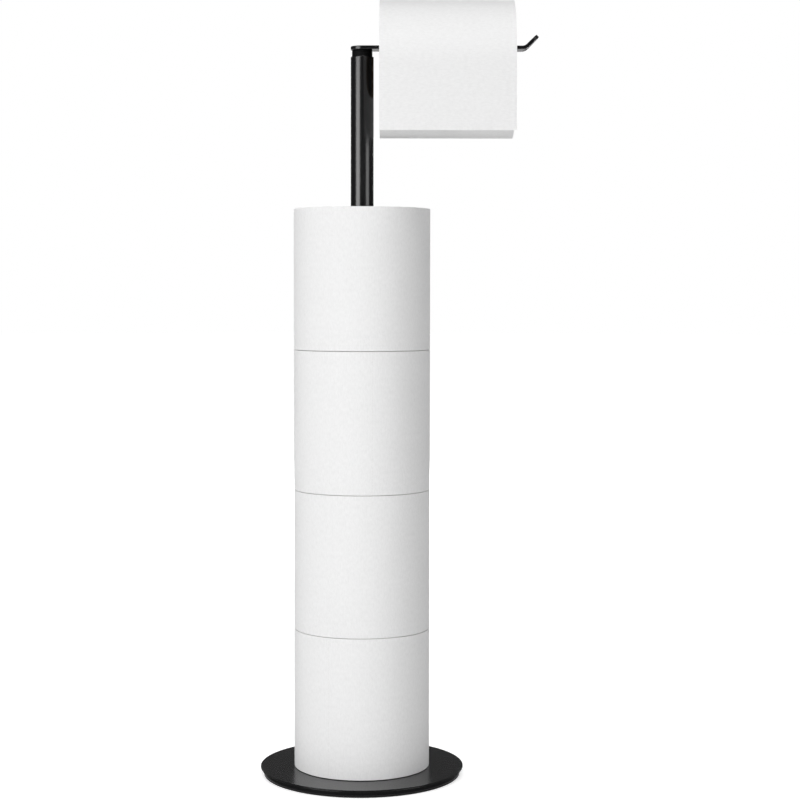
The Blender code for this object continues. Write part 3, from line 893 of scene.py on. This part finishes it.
class HOLDER_OT_hanging_roll(bpy.types.Operator):
    """Wind the roll in use on its core and hang it on the arm"""
    bl_idname = "holder.hanging_roll"
    bl_label = "Roll in use"

    def execute(self, context):
        sheet = context.scene.holder_sizes.sheet_thickness
        length = ROLL_HIGH.x - ROLL_LOW.x
        core_radius = (HANGING_CORE_HIGH.z - HANGING_CORE_LOW.z) / 2
        radius = (ROLL_HIGH.z - ROLL_LOW.z) / 2 + HANGING_ALLOWANCE * sheet
        # The roll is wound standing and then laid on its side, with +X turned up. Its layers grow
        # towards the back, and the sheet's loose end leaves them just behind the top.
        on_its_side = Matrix.Translation((ROLL_HIGH.x, 0, AXIS_HEIGHT)) @ Matrix.Rotation(-pi / 2, 4, "Y")
        roll = paper_roll(radius, core_radius + CORE_CLEARANCE, length, HANGING_SEED, HANGING_LAYER * sheet,
                          TAIL_START)
        place(roll, on_its_side)
        hand_over(roll, "hanging_roll_tissue", "hanging_roll", ["hanging_roll_paper"])
        core = core_tube(core_radius, length, TAIL_START)
        place(core, on_its_side)
        hand_over(core, "hanging_roll_board", "hanging_roll", ["hanging_roll_core"],
                  spiral_core_board())
        return {"FINISHED"}


class HOLDER_OT_tail(bpy.types.Operator):
    """Lay the sheet's loose end over the roll in use and let it hang down in front"""
    bl_idname = "holder.tail"
    bl_label = "Hanging sheet"

    def execute(self, context):
        front = -TAIL_LOW.y
        width = TAIL_HIGH.x - TAIL_LOW.x
        middle = ((TAIL_LOW.x + TAIL_HIGH.x) / 2, -front, AXIS_HEIGHT - TAIL_DROP / 2)

        tail = start("grid", x_subdivisions=SHEET_COLUMNS, y_subdivisions=SHEET_ROWS, size=1,
                     location=middle, rotation=(pi / 2, 0, 0))
        stretch((width, 1, TAIL_DROP), middle)
        pick(tail, "EDGE", lambda edge: all(vert.co.z > AXIS_HEIGHT - TOUCH for vert in edge.verts))
        bpy.ops.mesh.spin(steps=SPIN_STEPS, angle=TAIL_START + pi / 2,
                          center=(0, -TAIL_SLACK, AXIS_HEIGHT), axis=(1, 0, 0))
        # The hem was torn along its perforation, which leaves short teeth
        pitch = width / SHEET_COLUMNS
        pick(tail, "VERT", lambda vert: vert.co.z < TAIL_LOW.z + TOUCH
             and round((vert.co.x - TAIL_LOW.x) / pitch) % 2 == 1)
        bpy.ops.transform.translate(value=(0, 0, TAIL_TOOTH))
        close(tail)
        self.unroll(tail.data, front)
        self.loosen(tail.data)
        apply_modifier(tail, "SOLIDIFY", thickness=context.scene.holder_sizes.sheet_thickness, offset=0,
                       use_even_offset=True)
        smooth(tail)
        hand_over(tail, "hanging_sheet", "arm", ["tail_sheet"], white_tissue())
        return {"FINISHED"}

    def unroll(self, mesh, front):
        """Lay the unrolled map over the sheet, from its hem up."""
        for loop, uv in zip(mesh.loops, unrolled_map(mesh)):
            co = mesh.vertices[loop.vertex_index].co
            above = co.z - AXIS_HEIGHT
            run = TAIL_DROP + (above if above < 0 else front * atan2(above, -co.y))
            uv.uv = (run, co.x)

    def loosen(self, mesh):
        """Let the hanging part stand away from the roll by a gentle wave that grows to the hem."""
        for vert in mesh.vertices:
            share = max(0, AXIS_HEIGHT - vert.co.z) / TAIL_DROP
            wave = sin((vert.co.x - TAIL_LOW.x) / WAVE_LENGTH + WAVE_DRIFT * share)
            ripple = RIPPLE_SHARE * sin(vert.co.x / RIPPLE_LENGTH)
            vert.co.y -= WAVE_HEIGHT * share * share * (HEM_STANDOFF + wave + ripple)


class HOLDER_OT_hidden_hardware(bpy.types.Operator):
    """Plate the bolt, the foot insert and the seat disc, which stay as they are inside the stand"""
    bl_idname = "holder.hidden_hardware"
    bl_label = "Hidden hardware"

    def execute(self, context):
        for name in ("base_bolt", "post_foot_insert", "arm_seat_disc"):
            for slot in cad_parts[name].material_slots:
                slot.material = zinc_plated_steel()
        return {"FINISHED"}


# Studio

def softbox(name, angle, height, distance, width, tall, radiance, mirrored):
    """A soft lamp that stands at an angle round the holder and faces it."""
    azimuth = radians(angle)
    lamp = bpy.data.lights.new(name, "AREA")
    lamp.shape = "RECTANGLE"
    lamp.size = width
    lamp.size_y = tall
    lamp.energy = radiance * pi * width * tall
    holder = bpy.data.objects.new(name, lamp)
    holder.location = (distance * sin(azimuth), -distance * cos(azimuth), height)
    holder.rotation_euler = (LAMP_TARGET - holder.location).to_track_quat("-Z", "Y").to_euler()
    holder.visible_camera = False
    holder.visible_glossy = mirrored
    bpy.context.scene.collection.objects.link(holder)


def seen_as_background(tree, mirrored=1.0):
    """1 for the rays that see the white background: the camera's and those that clear pieces
    send on. Those that metal mirrors see a given share of it."""
    rays = add(tree, "ShaderNodeLightPath").outputs
    glossy = add(tree, "ShaderNodeMath", {0: rays["Is Glossy Ray"], 1: mirrored}, operation="MULTIPLY")
    direct = add(tree, "ShaderNodeMath", {
        0: rays["Is Camera Ray"], 1: glossy.outputs[0]}, operation="MAXIMUM")
    passed = add(tree, "ShaderNodeMath", {
        0: direct.outputs[0], 1: rays["Is Transmission Ray"]}, operation="MAXIMUM")
    return passed.outputs[0]


@made_once
def white_studio_floor(tree, shader):
    """Matt white studio floor: it takes the holder's shadow and fades to the white backdrop."""
    mottle_size = 0.2
    where = add(tree, "ShaderNodeTexCoord").outputs["Object"]
    mottle = add(tree, "ShaderNodeTexNoise", {"Vector": where, "Scale": 1 / mottle_size, "Detail": 2.0})
    shade = add(tree, "ShaderNodeMix", {
        "Factor": mottle.outputs["Fac"], "A": linear("#D2D2D2"), "B": linear("#D5D5D5")}, data_type="RGBA")
    fill(tree, shader, {"Base Color": shade.outputs["Result"], "Roughness": 1.0, "Specular IOR Level": 0.0})
    # Far off, where the lamps don't reach, the floor fades to the full white of the backdrop
    reach = add(tree, "ShaderNodeVectorMath", {0: where}, operation="LENGTH")
    fade = add(tree, "ShaderNodeMapRange", {
        "Value": reach.outputs["Value"], "From Min": FADE_NEAR, "From Max": FADE_FAR, "To Min": LIFT_NEAR,
        "To Max": 1.0}, interpolation_type="SMOOTHSTEP")
    seen = seen_as_background(tree, LIFT_MIRRORED)
    lift = add(tree, "ShaderNodeMath", {0: seen, 1: fade.outputs["Result"]}, operation="MULTIPLY")
    glow = add(tree, "ShaderNodeEmission", {"Color": linear("#FFFFFF"), "Strength": lift.outputs[0]})
    lit = add(tree, "ShaderNodeAddShader", {0: shader.outputs["BSDF"], 1: glow.outputs["Emission"]})
    fill(tree, tree.nodes["Material Output"], {"Surface": lit.outputs["Shader"]})


@made_once
def black_studio_curtain(tree, shader):
    """Black studio curtain: its dim light from the room is painted on as a glow, with painted light and shade
    of soft folds, a little brighter behind the holder.
    """
    fold_size = 0.6
    fold_share = 0.02
    front = -1.0
    back = 2.0
    glow_front = 0.055
    glow_back = 0.077
    where = add(tree, "ShaderNodeTexCoord").outputs["Object"]
    # The folds' light and shade and the brighter back are painted into the glow's strength
    folds = add(tree, "ShaderNodeTexNoise", {"Vector": where, "Scale": 1 / fold_size, "Detail": 1.0})
    parts = add(tree, "ShaderNodeSeparateXYZ", {"Vector": where})
    behind = add(tree, "ShaderNodeMapRange", {
        "Value": parts.outputs["Y"], "From Min": front, "From Max": back, "To Min": glow_front,
        "To Max": glow_back})
    dim = add(tree, "ShaderNodeMath", {
        0: folds.outputs["Fac"], 1: fold_share, 2: behind.outputs["Result"]}, operation="MULTIPLY_ADD")
    glow = add(tree, "ShaderNodeEmission", {"Color": linear("#FFFFFF"), "Strength": dim.outputs[0]})
    fill(tree, tree.nodes["Material Output"], {"Surface": glow.outputs["Emission"]})


class HOLDER_OT_stage(bpy.types.Operator):
    """Set up the white floor, the black curtains, the soft lamps, the world and the camera"""
    bl_idname = "holder.stage"
    bl_label = "Studio"

    def execute(self, context):
        floor = start("circle", vertices=FLOOR_SIDES, radius=FLOOR_RADIUS, fill_type="NGON")
        bpy.ops.mesh.inset(thickness=FLOOR_BORDER)
        close(floor)
        floor.name = "studio_floor"
        floor.data.materials.append(white_studio_floor())

        # Black curtains all round, as a studio hangs round black metal. Only reflections see them.
        # Behind the holder their hem is raised, so that the white floor shows below it.
        curtain = cylinder(CURTAIN_RADIUS, 0, CURTAIN_HEIGHT, CURTAIN_SIDES)
        pick(curtain, "FACE", faces_down)
        bpy.ops.mesh.delete(type="ONLY_FACE")
        pick(curtain, "VERT", lambda vert: vert.co.z < TOUCH and vert.co.y > CURTAIN_BACK)
        bpy.ops.transform.translate(value=(0, 0, CURTAIN_RISE))
        bpy.ops.object.mode_set(mode="OBJECT")
        curtain.name = "studio_curtain"

        # A dark ring lies round the base in the same way, as a painted shadow: the base's rim mirrors it in
        # place of the white floor, as though the floor there lay in the stand's shade
        shadow_cloth = start("circle", vertices=SHADOW_CLOTH_SIDES, radius=SHADOW_CLOTH_RADIUS, fill_type="NGON",
                      location=(0, 0, SHADOW_CLOTH_HEIGHT))
        bpy.ops.mesh.inset(thickness=SHADOW_CLOTH_RADIUS - COVER_HIGH.x)
        pick(shadow_cloth, "FACE", lambda face: len(face.verts) == SHADOW_CLOTH_SIDES)
        bpy.ops.mesh.delete(type="ONLY_FACE")
        bpy.ops.object.mode_set(mode="OBJECT")
        shadow_cloth.name = "painted_shadow_cloth"

        for piece in (curtain, shadow_cloth):
            piece.data.materials.append(black_studio_curtain())
            piece.visible_camera = False
            piece.visible_diffuse = False
            piece.visible_transmission = False
            piece.visible_shadow = False

        for lamp in LAMPS:
            softbox(*lamp)

        scene = context.scene
        scene.world = bpy.data.worlds.new("white_studio")
        scene.world.use_nodes = True
        tree = scene.world.node_tree
        light = add(tree, "ShaderNodeMapRange", {
            "Value": seen_as_background(tree), "To Min": AMBIENT, "To Max": 1.0})
        fill(tree, tree.nodes["Background"], {
            "Color": linear("#FFFFFF"), "Strength": light.outputs["Result"]})

        camera = bpy.data.cameras.new("photo_camera")
        camera.lens = CAMERA_LENS
        viewer = bpy.data.objects.new("photo_camera", camera)
        viewer.location = CAMERA_PLACE
        viewer.rotation_euler = (pi / 2 + CAMERA_PITCH, CAMERA_ROLL, 0)
        scene.collection.objects.link(viewer)
        scene.camera = viewer
        scene.view_settings.view_transform = "Standard"
        return {"FINISHED"}


class HOLDER_PT_panel(bpy.types.Panel):
    """Sizes, colours and building steps of the holder"""
    bl_idname = "HOLDER_PT_panel"
    bl_label = "Toilet paper holder"
    bl_space_type = "VIEW_3D"
    bl_region_type = "UI"
    bl_category = "Holder"

    def draw(self, context):
        for group in (context.scene.holder_sizes, context.scene.holder_colours):
            for name in group.bl_rna.properties.keys():
                if name not in {"rna_type", "name"}:
                    self.layout.prop(group, name)
        for operator in STEPS:
            self.layout.operator(operator.bl_idname)


STEPS = (HOLDER_OT_stage, HOLDER_OT_base, HOLDER_OT_post, HOLDER_OT_plug, HOLDER_OT_arm,
         HOLDER_OT_reserve_rolls, HOLDER_OT_hanging_roll, HOLDER_OT_tail, HOLDER_OT_hidden_hardware)
CLASSES = (HolderSizes, HolderColours, *STEPS, HOLDER_PT_panel)


def register():
    for item in CLASSES:
        bpy.utils.register_class(item)
    bpy.types.Scene.holder_sizes = PointerProperty(type=HolderSizes)
    bpy.types.Scene.holder_colours = PointerProperty(type=HolderColours)


def unregister():
    del bpy.types.Scene.holder_colours
    del bpy.types.Scene.holder_sizes
    for item in reversed(CLASSES):
        bpy.utils.unregister_class(item)


def main():
    register()
    bpy.ops.holder.stage()
    bpy.ops.holder.base()
    bpy.ops.holder.post()
    bpy.ops.holder.plug()
    bpy.ops.holder.arm()
    bpy.ops.holder.reserve_rolls()
    bpy.ops.holder.hanging_roll()
    bpy.ops.holder.tail()
    bpy.ops.holder.hidden_hardware()


if __name__ == "__main__":
    main()
